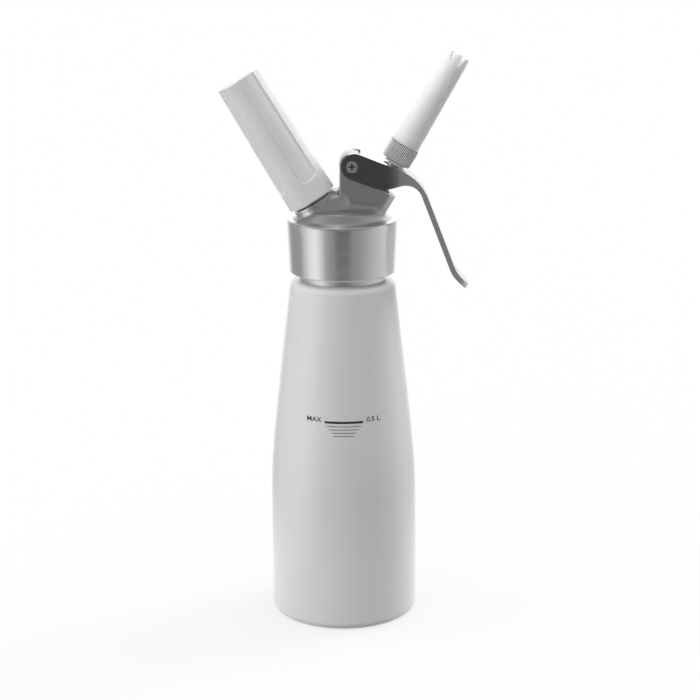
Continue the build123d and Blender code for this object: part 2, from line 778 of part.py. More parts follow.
with BuildPart() as tip_adaptor:
    with BuildSketch(spout_level(adaptor_start)):
        Circle(adaptor_r - knurl_depth)
        with PolarLocations(adaptor_r - knurl_depth, knurl_count):
            Rectangle(sqrt(2) * knurl_depth, sqrt(2) * knurl_depth, rotation=45)
    extrude(amount=adaptor_length)
    with BuildSketch(spout_section):
        with BuildLine():
            Polyline(
                (0, adaptor_start),
                (adaptor_r - adaptor_round, adaptor_start),
                (adaptor_r, adaptor_start + adaptor_round),
                (adaptor_r, adaptor_end - adaptor_round),
                (adaptor_r - adaptor_round, adaptor_end),
                (0, adaptor_end),
                close=True,
            )
        make_face()
    revolve(axis=spout_line, mode=Mode.INTERSECT)
    bore(spout_level(adaptor_start), stem_r + press_gap, adaptor_length)
    bore(spout_level(stem_end), tip_washer_r + press_gap, adaptor_end - stem_end)
    bore(spout_level(tip_seat), tip_spigot_r + press_gap, adaptor_end - tip_seat)

with BuildPart() as decorator_tip:
    with BuildSketch(spout_section):
        with BuildLine():
            Polyline(
                (tip_mouth_r, tip_seat),
                (tip_spigot_r, tip_seat),
                (tip_spigot_r, adaptor_end),
                (tip_base_r, adaptor_end),
                (tip_end_r, tip_end),
                (tip_end_r - tip_wall, tip_end),
                close=True,
            )
        make_face()
    revolve(axis=spout_line)
    for index in range(notch_pairs):
        turn = radians(notch_turn + index * 180 / notch_pairs)
        level = spout_level(tip_end)
        across = level.x_dir * cos(turn) + level.y_dir * sin(turn)
        with BuildSketch(Plane(origin=level.origin, x_dir=spout_dir.cross(across), z_dir=across)):
            Polygon((-notch_width, notch_depth), (notch_width, notch_depth), (0, -notch_depth), align=None)
        extrude(amount=2 * tip_end_r, both=True, mode=Mode.SUBTRACT)

# ================================================================ export
pieces = {
    "bottle": bottle,
    "head_gasket": head_gasket,
    "head_casting": head_casting,
    "piercing_pin": piercing_pin,
    "charger_seal": charger_seal,
    "check_valve_sleeve": check_valve_sleeve,
    "gas_charger": gas_charger,
    "charger_cap": charger_cap,
    "charger_holder": charger_holder,
    "holder_insert": holder_insert,
    "holder_pad": holder_pad,
    "lever": lever,
    "pivot_sleeve_nut": pivot_sleeve_nut,
    "pivot_screw": pivot_screw,
    "valve_stem": valve_stem,
    "valve_head": valve_head,
    "valve_seal": valve_seal,
    "stem_o_rings": stem_o_rings,
    "guide_bush": guide_bush,
    "valve_spring": valve_spring,
    "press_washer": press_washer,
    "stem_nut": stem_nut,
    "adaptor_washer": adaptor_washer,
    "tip_adaptor": tip_adaptor,
    "decorator_tip": decorator_tip,
}
os.makedirs("parts", exist_ok=True)
for node, piece in pieces.items():
    piece.part.label = node
    export_step(piece.part, f"parts/{node}.step")
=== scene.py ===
import json
import math

import bmesh
import bpy
import numpy as np
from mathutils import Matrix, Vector
from mathutils.bvhtree import BVHTree


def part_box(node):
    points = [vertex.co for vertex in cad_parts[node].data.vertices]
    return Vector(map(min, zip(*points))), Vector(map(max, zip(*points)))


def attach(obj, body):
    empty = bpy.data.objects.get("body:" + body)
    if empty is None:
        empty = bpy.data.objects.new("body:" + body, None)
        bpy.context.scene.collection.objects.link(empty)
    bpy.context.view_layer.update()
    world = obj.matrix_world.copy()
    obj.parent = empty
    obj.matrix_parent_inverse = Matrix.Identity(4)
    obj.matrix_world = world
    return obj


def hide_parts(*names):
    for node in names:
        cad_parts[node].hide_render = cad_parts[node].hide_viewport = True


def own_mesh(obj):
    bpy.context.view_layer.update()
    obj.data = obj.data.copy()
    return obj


# Whipped cream dispenser, in metres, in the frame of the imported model: +Z up, origin at the
# centre of the base, the lever and the tip towards +X, the charger holder towards -X.

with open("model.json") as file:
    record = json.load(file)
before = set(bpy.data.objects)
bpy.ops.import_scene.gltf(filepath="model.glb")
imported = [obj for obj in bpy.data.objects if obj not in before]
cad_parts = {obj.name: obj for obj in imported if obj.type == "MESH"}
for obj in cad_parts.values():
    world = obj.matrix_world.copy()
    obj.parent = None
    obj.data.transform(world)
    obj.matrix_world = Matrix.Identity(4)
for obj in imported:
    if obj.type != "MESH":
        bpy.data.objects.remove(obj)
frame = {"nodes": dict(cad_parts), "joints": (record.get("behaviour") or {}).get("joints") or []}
nodes = frame["nodes"]
joints = {joint["name"]: joint for joint in frame["joints"]}
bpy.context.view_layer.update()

MM = 0.001
bottle_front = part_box("bottle")[0].y
spout_dir = -Vector(joints["valve_press"]["axis"])
gas_dir = Vector(joints["charger_slide"]["axis"])
hub = Vector(joints["holder_turn"]["pos_m"])
pivot = Vector(joints["lever_squeeze"]["pos_m"])
across_gas = Vector((gas_dir.z, 0, -gas_dir.x))   # square to the gas axis, towards the arm


def put(name, data):
    """New object with the given data, in the scene."""
    piece = bpy.data.objects.new(name, data)
    bpy.context.scene.collection.objects.link(piece)
    return piece


# ---------------------------------------------------------------- camera
CAMERA_PLACE = (3.7 * MM, -985 * MM, 412 * MM)
CAMERA_PITCH = 15.02       # degrees below the horizon
CAMERA_ROLL = 0.23
CAMERA_LENS = 96.27
CAMERA_SENSOR = 36.0


def make_camera():
    """The photograph's camera, fitted to the bottle's outline and ellipses."""
    data = bpy.data.cameras.new("camera")
    data.sensor_width = CAMERA_SENSOR
    data.lens = CAMERA_LENS
    camera = put("camera", data)
    camera.location = CAMERA_PLACE
    camera.rotation_euler = (math.radians(90 - CAMERA_PITCH), 0, 0)
    camera.rotation_euler.rotate_axis("Z", -math.radians(CAMERA_ROLL))
    bpy.context.scene.camera = camera


# ---------------------------------------------------------------- shader helper
class Shader:
    """A node tree with short ways to add the nodes that the surfaces here use."""

    def __init__(self, tree):
        self.tree = tree

    def add(self, kind, **settings):
        node = self.tree.nodes.new(kind)
        for key, value in settings.items():
            setattr(node, key, value)
        return node

    def link(self, output, socket):
        self.tree.links.new(output, socket)

    def math(self, operation, first, second=0.0, third=None):
        """One calculation; each term is a number or an output, and None leaves it out."""
        node = self.add("ShaderNodeMath", operation=operation)
        for socket, value in zip(node.inputs, (first, second, third)):
            if value is None:
                continue
            if isinstance(value, (int, float)):
                socket.default_value = value
            else:
                self.link(value, socket)
        return node.outputs[0]

    def place(self):
        """Object-space position as three outputs."""
        split = self.add("ShaderNodeSeparateXYZ")
        self.link(self.add("ShaderNodeTexCoord").outputs["Object"], split.inputs[0])
        return split.outputs

    def noise(self, scale, detail=2.0, stretch=(1, 1, 1)):
        """Noise over object space, in cycles per metre."""
        mapping = self.add("ShaderNodeMapping")
        mapping.inputs["Scale"].default_value = stretch
        self.link(self.add("ShaderNodeTexCoord").outputs["Object"], mapping.inputs[0])
        node = self.add("ShaderNodeTexNoise")
        node.inputs["Scale"].default_value = scale
        node.inputs["Detail"].default_value = detail
        self.link(mapping.outputs[0], node.inputs["Vector"])
        return node.outputs["Fac"]

    def between(self, value, low, high, to_low=0.0, to_high=1.0):
        """Smooth step from low to high."""
        node = self.add("ShaderNodeMapRange", interpolation_type="SMOOTHSTEP")
        for name, number in zip(
            ("From Min", "From Max", "To Min", "To Max"), (low, high, to_low, to_high)
        ):
            node.inputs[name].default_value = number
        self.link(value, node.inputs["Value"])
        return node.outputs[0]

    def mix(self, factor, first, second):
        """Mix of two colours; each is a tuple or an output."""
        node = self.add("ShaderNodeMix", data_type="RGBA")
        self.link(factor, node.inputs["Factor"])
        for name, value in (("A", first), ("B", second)):
            socket = next(s for s in node.inputs if s.name == name and s.type == "RGBA")
            if isinstance(value, tuple):
                socket.default_value = (*value, 1)
            else:
                self.link(value, socket)
        return next(s for s in node.outputs if s.type == "RGBA")

    def ramp(self, value, stops):
        """Colour ramp through grey levels given as (place, level)."""
        node = self.add("ShaderNodeValToRGB")
        elements = node.color_ramp.elements
        node.color_ramp.interpolation = "EASE"
        for element, (position, level) in zip(elements, (stops[0], stops[-1])):
            element.position = position
            element.color = (level, level, level, 1)
        for position, level in stops[1:-1]:
            elements.new(position).color = (level, level, level, 1)
        self.link(value, node.inputs[0])
        return node.outputs["Color"]

    def bump(self, height, distance):
        """Bump of the given height in metres."""
        node = self.add("ShaderNodeBump")
        node.inputs["Strength"].default_value = 1.0
        node.inputs["Distance"].default_value = distance
        self.link(height, node.inputs["Height"])
        return node.outputs[0]


def surface(name, roughness, **sockets):
    """New material with its Principled shader; sockets are plain values set on the shader."""
    material = bpy.data.materials.new(name)
    material.use_nodes = True
    shader = Shader(material.node_tree)
    principled = material.node_tree.nodes["Principled BSDF"]
    principled.inputs["Roughness"].default_value = roughness
    for key, value in sockets.items():
        principled.inputs[key.replace("_", " ")].default_value = value
    return material, shader, principled.inputs


def grey(level):
    """Neutral colour of a level."""
    return (level, level, level)


# ---------------------------------------------------------------- materials
# Depth of each surface's fine relief
LACQUER_PEEL = 0.004 * MM
COLLAR_RINGS = 0.0002 * MM
CAST_GRAIN = 0.012 * MM
METAL_MARKS = 0.002 * MM
HOLDER_SKIN = 0.005 * MM
TIP_SKIN = 0.008 * MM
KNURL_SKIN = 0.01 * MM
RUBBER_SKIN = 0.02 * MM
INK_GRAIN = 0.004 * MM


def radius_from_axis(shader, place):
    """Distance from the Z axis."""
    squares = shader.math("MULTIPLY", place["X"], place["X"])
    return shader.math("SQRT", shader.math("MULTIPLY_ADD", place["Y"], place["Y"], squares))


LACQUER = (0.775, 0.775, 0.77)
BARE_METAL = grey(0.80)
NECK_Z = (188.0 * MM, 188.6 * MM)      # the lacquer ends here, at the foot of the neck
NECK_R = (24.6 * MM, 25.2 * MM)        # and the bare neck lies within this radius
INSIDE_BLEND = 0.4 * MM                # of the radius times the normal's share away from the axis
INSIDE_Z = (1 * MM, 2 * MM)            # the inside starts here, above the groove under the base
SCUFF_Z = (0.5 * MM, 5 * MM)           # the scuffs at the foot thin out from here to here


def lacquer_material():
    """White lacquer outside, scuffed at its foot; bare aluminium inside and on the neck."""
    material, shader, inputs = surface("white_lacquer", 0.2, Coat_Weight=0.7, Coat_Roughness=0.04)
    place = shader.place()
    radius = radius_from_axis(shader, place)
    normal = shader.add("ShaderNodeSeparateXYZ")
    shader.link(shader.add("ShaderNodeNewGeometry").outputs["Normal"], normal.inputs[0])
    outward = shader.math("MULTIPLY", place["X"], normal.outputs["X"])
    outward = shader.math("MULTIPLY_ADD", place["Y"], normal.outputs["Y"], outward)
    inside = shader.between(outward, -INSIDE_BLEND, INSIDE_BLEND, 1.0, 0.0)
    inside = shader.math("MULTIPLY", inside, shader.between(place["Z"], *INSIDE_Z))
    neck = shader.between(place["Z"], *NECK_Z)
    narrow = shader.between(radius, *NECK_R, 1.0, 0.0)
    neck = shader.math("MULTIPLY", neck, narrow)
    bare = shader.math("MAXIMUM", inside, neck)
    cloud = shader.noise(14, 3)
    speck = shader.noise(900, 2)
    colour = shader.mix(shader.between(cloud, 0.3, 0.75), LACQUER, grey(0.76))
    scuff = shader.between(shader.noise(260, 4, (1, 1, 3)), 0.66, 0.74)
    low_edge = shader.between(place["Z"], *SCUFF_Z, 1.0, 0.0)
    scuff = shader.math("MULTIPLY", scuff, low_edge)
    colour = shader.mix(scuff, colour, grey(0.52))
    colour = shader.mix(bare, colour, BARE_METAL)
    shader.link(colour, inputs["Base Color"])
    shader.link(bare, inputs["Metallic"])
    rough = shader.between(speck, 0.2, 0.8, 0.17, 0.24)
    rough = shader.math("MULTIPLY_ADD", bare, 0.14, rough)
    shader.link(rough, inputs["Roughness"])
    peel = shader.noise(420, 2)
    turned = shader.noise(60, 2, (0.05, 0.05, 60))
    fine = shader.math("MULTIPLY", turned, bare)
    height = shader.math("MULTIPLY_ADD", peel, 0.35, fine)
    shader.link(shader.bump(height, LACQUER_PEEL), inputs["Normal"])
    return material


def turned_material():
    """Lathe-turned aluminium of the collar: fine rings and an anisotropic sheen."""
    material, shader, inputs = surface(
        "turned_aluminium", 0.26, Metallic=1.0, Anisotropic=0.75, Anisotropic_Rotation=0.25
    )
    tangent = shader.add("ShaderNodeTangent", direction_type="RADIAL", axis="Z")
    shader.link(tangent.outputs[0], inputs["Tangent"])
    rings = shader.noise(90, 3, (0.004, 0.004, 60))
    smear = shader.noise(30, 2, (1, 1, 8))
    colour = shader.mix(shader.between(rings, 0.35, 0.7), grey(0.79), grey(0.77))
    shader.link(colour, inputs["Base Color"])
    shader.link(shader.between(smear, 0.2, 0.8, 0.24, 0.30), inputs["Roughness"])
    shader.link(shader.bump(rings, COLLAR_RINGS), inputs["Normal"])
    return material


def cast_material():
    """Satin cast aluminium with a fine blasted grain, polished a little on its edges, where the
    colour also carries a painted highlight.
    """
    material, shader, inputs = surface("cast_aluminium", 0.4, Metallic=1.0)
    grain = shader.noise(1500, 3)
    cloud = shader.noise(70, 3)
    # edges by pointiness: lower roughness for the polish, and a brighter colour that is a painted
    # highlight
    edge = shader.between(shader.add("ShaderNodeNewGeometry").outputs["Pointiness"], 0.50, 0.56)
    colour = shader.mix(shader.between(cloud, 0.3, 0.75), grey(0.68), grey(0.61))
    colour = shader.mix(edge, colour, grey(0.82))
    shader.link(colour, inputs["Base Color"])
    rough = shader.between(cloud, 0.25, 0.8, 0.37, 0.45)
    rough = shader.math("MULTIPLY_ADD", edge, -0.1, rough)
    shader.link(rough, inputs["Roughness"])
    shader.link(shader.bump(grain, CAST_GRAIN), inputs["Normal"])
    return material


BLADE_FROM = 20 * MM       # the satin of the blade sets in past the cheeks
BLADE_TO = 36 * MM


def lever_material():
    """Plated lever: polished cheeks, and a blade brushed to a satin."""
    material, shader, inputs = surface("polished_lever", 0.16, Metallic=1.0)
    marks = shader.noise(70, 3, (1, 14, 14))
    cloud = shader.noise(40, 3)
    satin = shader.between(shader.place()["X"], BLADE_FROM, BLADE_TO)
    colour = shader.mix(shader.between(cloud, 0.3, 0.75), grey(0.86), grey(0.80))
    colour = shader.mix(satin, colour, grey(0.74))
    shader.link(colour, inputs["Base Color"])
    rough = shader.between(marks, 0.25, 0.8, 0.07, 0.13)
    shader.link(shader.math("MULTIPLY_ADD", satin, 0.30, rough), inputs["Roughness"])
    shader.link(shader.bump(marks, METAL_MARKS), inputs["Normal"])
    return material


SCREW_FACE = -10.3 * MM                # along Y
SLOT_EDGE = 0.2 * MM                   # the cross slot gets painted shade from this far below the face
SLOT_FADE = 0.3 * MM


def steel_material(name, level, roughness, shade_from=None):
    """Bright turned metal of the small parts; a driver slot gets painted shade past a given
    level.
    """
    material, shader, inputs = surface(name, roughness, Metallic=1.0)
    marks = shader.noise(900, 2)
    colour = shader.mix(shader.between(marks, 0.3, 0.7), grey(level), grey(level * 0.86))
    if shade_from is not None:
        # painted shade: the slot below the screw's face is coloured near black, where shade would
        # fall
        slot_shade = shader.between(shader.place()["Y"], shade_from, shade_from + SLOT_FADE)
        colour = shader.mix(slot_shade, colour, grey(0.06))
    shader.link(colour, inputs["Base Color"])
    rough = shader.between(marks, 0.2, 0.8, roughness * 0.8, roughness * 1.3)
    shader.link(rough, inputs["Roughness"])
    shader.link(shader.bump(marks, METAL_MARKS), inputs["Normal"])
    return material


LIGHT_DEPTH = 4 * MM                   # how far light spreads inside the plastic


def plastic_material(name, colour, shade, roughness, grain, depth=0.12):
    """Moulded plastic: slight sink marks, a fine skin and softly lit depth."""
    material, shader, inputs = surface(
        name, roughness,
        Subsurface_Weight=depth, Subsurface_Scale=LIGHT_DEPTH, Subsurface_Radius=(1, 1, 1),
    )
    cloud = shader.noise(45, 2)
    skin = shader.noise(1200, 2)
    shader.link(shader.mix(shader.between(cloud, 0.3, 0.75), colour, shade), inputs["Base Color"])
    rough = shader.between(skin, 0.2, 0.8, roughness * 0.85, roughness * 1.2)
    shader.link(rough, inputs["Roughness"])
    height = shader.math("MULTIPLY_ADD", cloud, 2.0, skin)
    shader.link(shader.bump(height, grain), inputs["Normal"])
    return material


def turned_about_spout(shader):
    """Object-space position turned so that the spout's axis is Z and the hub the origin."""
    offset = shader.add("ShaderNodeVectorMath", operation="SUBTRACT")
    shader.link(shader.add("ShaderNodeTexCoord").outputs["Object"], offset.inputs[0])
    offset.inputs[1].default_value = hub
    rotate = shader.add("ShaderNodeVectorRotate", rotation_type="Y_AXIS")
    rotate.inputs["Angle"].default_value = -math.atan2(spout_dir.x, spout_dir.z)
    shader.link(offset.outputs[0], rotate.inputs["Vector"])
    split = shader.add("ShaderNodeSeparateXYZ")
    shader.link(rotate.outputs[0], split.inputs[0])
    return split.outputs


KNURL_FLOOR = 7.86 * MM
KNURL_CREST = 8.12 * MM
KNURL_FOOT = (7.0 * MM, 7.3 * MM)      # inside this the adaptor has no ridges


def knurl_material():
    """Plastic of the adaptor, with the shade that collects between its ridges."""
    material, shader, inputs = surface("knurled_plastic", 0.35)
    place = turned_about_spout(shader)
    radius = radius_from_axis(shader, place)
    groove = shader.between(radius, KNURL_FLOOR, KNURL_CREST, 1.0, 0.0)
    groove = shader.math("MULTIPLY", groove, shader.between(radius, *KNURL_FOOT))
    shader.link(shader.mix(groove, grey(0.92), grey(0.12)), inputs["Base Color"])
    skin = shader.noise(1500, 2)
    shader.link(shader.bump(skin, KNURL_SKIN), inputs["Normal"])
    return material


def rubber_material(name, colour, shade):
    """Matt rubber or silicone with a fine skin."""
    material, shader, inputs = surface(name, 0.6)
    skin = shader.noise(1500, 3)
    shader.link(shader.mix(shader.between(skin, 0.3, 0.7), colour, shade), inputs["Base Color"])
    shader.link(shader.bump(skin, RUBBER_SKIN), inputs["Normal"])
    return material


def ink_material():
    """Dark printing ink of the fill mark, a little uneven."""
    material, shader, inputs = surface("print_ink", 0.45)
    patch = shader.noise(2500, 3)
    colour = shader.mix(shader.between(patch, 0.35, 0.75), grey(0.018), grey(0.045))
    shader.link(colour, inputs["Base Color"])
    shader.link(shader.bump(patch, INK_GRAIN), inputs["Normal"])
    return material


def brass_material():
    """Turned brass of the pin."""
    material, shader, inputs = surface("brass_fitting", 0.25, Metallic=1.0)
    marks = shader.noise(700, 2)
    colour = shader.mix(shader.between(marks, 0.3, 0.7), (0.78, 0.60, 0.30), (0.66, 0.49, 0.22))
    shader.link(colour, inputs["Base Color"])
    shader.link(shader.bump(marks, METAL_MARKS), inputs["Normal"])
    return material


# ---------------------------------------------------------------- fill mark
MARK_Z = 117.5 * MM
MARK_HALF = 10.2 * MM
MARK_THICKNESS = 1.2 * MM
MARK_X = 0.3 * MM
LINE_THICKNESS = 0.32 * MM
LINE_STEP = 1.72 * MM
LINE_HALVES = (9.2 * MM, 7.9 * MM, 6.5 * MM, 5.6 * MM)
LETTER_GAP = 1.8 * MM
LETTER_HEIGHT = 2.5 * MM
CAP_SHARE = 0.69           # height of a capital as a share of the font's size
LETTER_WEIGHT = 0.05 * MM
INK_LIFT = 0.04 * MM


def skin_of(node):
    """Search tree over a CAD node's surface."""
    graph = bpy.context.evaluated_depsgraph_get()
    return BVHTree.FromObject(nodes[node], graph)


def strip(x_low, x_high, z_low, z_high, steps=24):
    """Flat band in the XZ plane as (points, faces)."""
    xs = np.linspace(x_low, x_high, steps + 1)
    points = [(x, z) for x in xs for z in (z_low, z_high)]
    faces = [(2 * i, 2 * i + 2, 2 * i + 3, 2 * i + 1) for i in range(steps)]
    return points, faces


def lettering(text, x, z, align):
    """Plain letters in the XZ plane as (points, faces), cut fine enough to bend."""
    curve = bpy.data.curves.new("letters", "FONT")
    curve.body = text
    curve.align_x = align
    curve.size = LETTER_HEIGHT / CAP_SHARE
    curve.resolution_u = 4
    curve.offset = LETTER_WEIGHT
    letters = put("letters", curve)
    mesh = bpy.data.meshes.new_from_object(letters)
    points = [(x + v.co.x, z + v.co.y) for v in mesh.vertices]
    faces = [tuple(p.vertices) for p in mesh.polygons]
    bpy.data.objects.remove(letters)
    bpy.data.meshes.remove(mesh)
    return points, faces


def fill_mark(ink):
    """Half-litre fill mark, printed on the front of the bottle."""
    left, right = MARK_X - MARK_HALF, MARK_X + MARK_HALF
    bottom = MARK_Z - MARK_THICKNESS / 2
    bands = [strip(left, right, bottom, MARK_Z + MARK_THICKNESS / 2)]
    for count, half in enumerate(LINE_HALVES, 1):
        z = bottom - count * LINE_STEP
        bands.append(strip(MARK_X - half, MARK_X + half, z, z + LINE_THICKNESS))
    bands.append(lettering("MAX", left - LETTER_GAP, MARK_Z, "RIGHT"))
    bands.append(lettering("0.5 L", right + LETTER_GAP, MARK_Z, "LEFT"))
    skin = skin_of("bottle")
    points, faces = [], []
    for band_points, band_faces in bands:
        first = len(points)
        for x, z in band_points:
            hit = skin.ray_cast(Vector((x, 2 * bottle_front, z)), Vector((0, 1, 0)))[0]
            points.append((x, hit.y - INK_LIFT, z))
        faces += [tuple(first + i for i in face) for face in band_faces]
    mesh = bpy.data.meshes.new("fill_mark")
    mesh.from_pydata(points, [], faces)
    mesh.materials.append(ink)
    mark = put("fill_mark", mesh)
    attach(mark, "bottle")


# ---------------------------------------------------------------- carried-over nodes
EDGE_FROM = 28             # degrees; sharper corners than this are rounded
HOLDER_EDGE = 0.5 * MM
SCREW_EDGE = 0.35 * MM


def dress(node, material, bevel=0.0):
    """Give a CAD node its material and, where asked, a fine edge radius."""
    piece = nodes[node]
    piece.data.materials.clear()
    piece.data.materials.append(material)
    if bevel:
        edge = piece.modifiers.new("edge", "BEVEL")
        edge.width = bevel
        edge.segments = 3
        edge.limit_method = "ANGLE"
        edge.angle_limit = math.radians(EDGE_FROM)


def finish_nodes():
    """Every CAD node gets its surface; the casting and the spring get their own meshes."""
    lacquer = lacquer_material()
    turned = turned_material()
    cast = cast_material()
    steel = steel_material("stainless_steel", 0.62, 0.2)
    black = rubber_material("black_rubber", grey(0.03), grey(0.05))
    screw = steel_material("screw_steel", 0.85, 0.36, SCREW_FACE + SLOT_EDGE)
    white = plastic_material("white_plastic", grey(0.88), grey(0.85), 0.16, HOLDER_SKIN)
    tip_white = plastic_material("tip_plastic", grey(0.90), grey(0.88), 0.24, TIP_SKIN, 0.5)
    silicone = rubber_material("white_silicone", grey(0.78), grey(0.72))
    dress("bottle", lacquer)
    cast_head(cast, turned, steel_material("machined_aluminium", 0.80, 0.26))
    dress("lever", lever_material())
    dress("charger_holder", white, HOLDER_EDGE)
    dress("holder_insert", turned)
    dress("guide_bush", white)
    dress("decorator_tip", tip_white)
    dress("tip_adaptor", knurl_material())
    dress("gas_charger", steel_material("charger_steel", 0.66, 0.3))
    dress("charger_cap", steel)
    dress("piercing_pin", brass_material())
    dress("head_gasket", silicone)
    dress("charger_seal", silicone)
    # press_washer: black rubber, whose black also serves as painted shade in the gap between the
    # adaptor and the lever
    for node in (
        "check_valve_sleeve", "holder_pad", "valve_seal",
        "stem_o_rings", "adaptor_washer", "press_washer",
    ):
        dress(node, black)
    valve_spring(steel)
    for node in ("pivot_sleeve_nut", "valve_stem", "valve_head", "stem_nut"):
        dress(node, steel)
    dress("pivot_screw", screw, SCREW_EDGE)


# ---------------------------------------------------------------- cast head
HEAD_VOXEL = 0.35 * MM
HEAD_CUT_Z = 219.9 * MM    # below the collar's top face, above the dish under the roof
COLLAR_TOP_Z = 220.9 * MM
SEAM_LIFT = 0.015 * MM
SEAM_FADE = 0.5 * MM       # the softening sets in over this height, up to the collar's top
SOFT_ROUNDS = 60
SOFT_STEP = 0.45
CONVEX_SHARE = 0.10

PORT_R = 12.0 * MM
PORT_FACE = 30.0 * MM      # along the gas axis
PORT_END = (PORT_FACE - 1.6 * MM, PORT_FACE - 0.8 * MM)     # fades to its machined end
PORT_END_R = PORT_R + 1 * MM
PORT_FROM = 22.5 * MM      # machined wall of the charger port, along its axis
PORT_WALL = (11.0 * MM, 12.5 * MM)
PORT_SIDE = -3.8 * MM      # it ends where the shoulders to the arm begin

BOSS_R = 10.0 * MM
BOSS_TOP = 38.6 * MM       # along the spout axis
BOSS_END = (BOSS_TOP - 1.5 * MM, BOSS_TOP - 0.8 * MM)       # fades to its machined end
BOSS_SIDE = (BOSS_TOP - 20 * MM, BOSS_TOP - 14 * MM)        # its sides are rounded from here up
BOSS_SIDE_R = (BOSS_R - 2.5 * MM, BOSS_R - 1.5 * MM)
CHAMBER_R = 6.0 * MM
CHAMBER_WALL = (CHAMBER_R + 0.3 * MM, CHAMBER_R + 0.9 * MM)     # its bore stays as drawn

ARM_HALF_WIDTH = 7.5 * MM
ARM_SIDE_Y = ARM_HALF_WIDTH - 3 * MM   # the boss's sides stand past this
SHOULDER_Y = ARM_HALF_WIDTH - 0.1 * MM      # the shoulders end just inside the arm's flats
SHOULDER_R = 11.9 * MM
SHOULDER_FROM = -10        # degrees from the port's side towards its foot
SHOULDER_LEVELS = (20 * MM, 28 * MM)
SHOULDER_X = (-1.0 * MM, 3.0 * MM)
SHOULDER_Z = (221.0 * MM, 234.0 * MM)
PIVOT_HOLE = (3.4 * MM, 4.4 * MM)      # kept as drawn within the first radius

WELD = 0.001 * MM
ON_CUT = 1e-7              # points this near a cut count as on it
CAST, TURNED, MACHINED = range(3)      # material slots of the shell
HARD_ANGLE = 30            # degrees; edges sharper than this stay hard


def half_of(node, level, keep_above):
    """Copy of a CAD node's part above or below a level, open at the cut, as a bmesh."""
    part = bmesh.new()
    part.from_mesh(nodes[node].data)
    bmesh.ops.remove_doubles(part, verts=part.verts, dist=WELD)
    geometry = part.verts[:] + part.edges[:] + part.faces[:]
    bmesh.ops.bisect_plane(
        part, geom=geometry, dist=ON_CUT, plane_co=(0, 0, level), plane_no=(0, 0, 1),
        clear_inner=keep_above, clear_outer=not keep_above,
    )
    return part


def closed(part):
    """Fill the flat cut of a bmesh."""
    rims = [edge for edge in part.edges if edge.is_boundary]
    bmesh.ops.triangle_fill(part, use_beauty=True, use_dissolve=False, edges=rims)
    bmesh.ops.recalc_face_normals(part, faces=part.faces)
    return part


def remeshed(part, voxel):
    """Vertices and quads of an even mesh over a closed bmesh."""
    mesh = bpy.data.meshes.new("work")
    part.to_mesh(mesh)
    part.free()
    work = put("work", mesh)
    remesh = work.modifiers.new("even", "REMESH")
    remesh.mode = "VOXEL"
    remesh.voxel_size = voxel
    graph = bpy.context.evaluated_depsgraph_get()
    even = bpy.data.meshes.new_from_object(work.evaluated_get(graph))
    points = np.array([v.co for v in even.vertices])
    quads = np.array([tuple(f.vertices) for f in even.polygons if len(f.vertices) == 4])
    bpy.data.objects.remove(work)
    bpy.data.meshes.remove(mesh)
    bpy.data.meshes.remove(even)
    return points, quads


def vertex_normals(points, quads):
    """Unit normals, each the sum over the quads round a vertex."""
    corners = points[quads]
    facing = np.cross(corners[:, 2] - corners[:, 0], corners[:, 3] - corners[:, 1])
    normals = np.zeros_like(points)
    for corner in range(4):
        np.add.at(normals, quads[:, corner], facing)
    return normals / np.maximum(np.linalg.norm(normals, axis=1, keepdims=True), 1e-12)


def soften(points, quads, share, convex):
    """Let hollow corners fill into fillets; outer corners are only broken by their share."""
    ends = np.concatenate([quads[:, [i, (i + 1) % 4]] for i in range(4)])
    ends = np.unique(np.sort(ends, axis=1), axis=0)
    count = np.bincount(ends.ravel(), minlength=len(points))[:, None]
    for _ in range(SOFT_ROUNDS):
        total = np.zeros_like(points)
        np.add.at(total, ends[:, 0], points[ends[:, 1]])
        np.add.at(total, ends[:, 1], points[ends[:, 0]])
        pull = total / np.maximum(count, 1) - points
        hollow = np.einsum("ij,ij->i", pull, vertex_normals(points, quads)) > 0
        weight = np.where(hollow, 1.0, convex) * share
        points = points + SOFT_STEP * weight[:, None] * pull
    return points


def along(points, direction):
    """Distance along an axis through the hub, and distance from that axis."""
    offset = points - np.array(hub)
    level = offset @ np.array(direction)
    away = np.linalg.norm(offset - level[:, None] * np.array(direction), axis=1)
    return level, away


def fade(value, low, high):
    """Straight step from 0 at low to 1 at high."""
    return np.clip((value - low) / (high - low), 0, 1)


def soft_share(points):
    """1 where the casting's forms flow together, 0 at its machined faces and bores."""
    gas_level, gas_away = along(points, gas_dir)
    spout_level, spout_away = along(points, spout_dir)
    from_pivot = np.hypot(points[:, 0] - pivot.x, points[:, 2] - pivot.z)
    share = fade(points[:, 2], COLLAR_TOP_Z - SEAM_FADE, COLLAR_TOP_Z)
    share *= 1 - fade(gas_level, *PORT_END) * (gas_away < PORT_END_R)
    share *= 1 - fade(spout_level, *BOSS_END)
    share *= fade(from_pivot, *PIVOT_HOLE)
    share *= fade(spout_away, *CHAMBER_WALL)
    return share


def convex_share(points):
    """How far outer corners are rounded: most along the sides of the valve boss."""
    spout_level, spout_away = along(points, spout_dir)
    side = fade(spout_away, *BOSS_SIDE_R) * (points[:, 0] > pivot.x)
    side *= fade(spout_level, *BOSS_SIDE)
    side *= np.abs(points[:, 1]) > ARM_SIDE_Y
    return CONVEX_SHARE + (1 - CONVEX_SHARE) * side


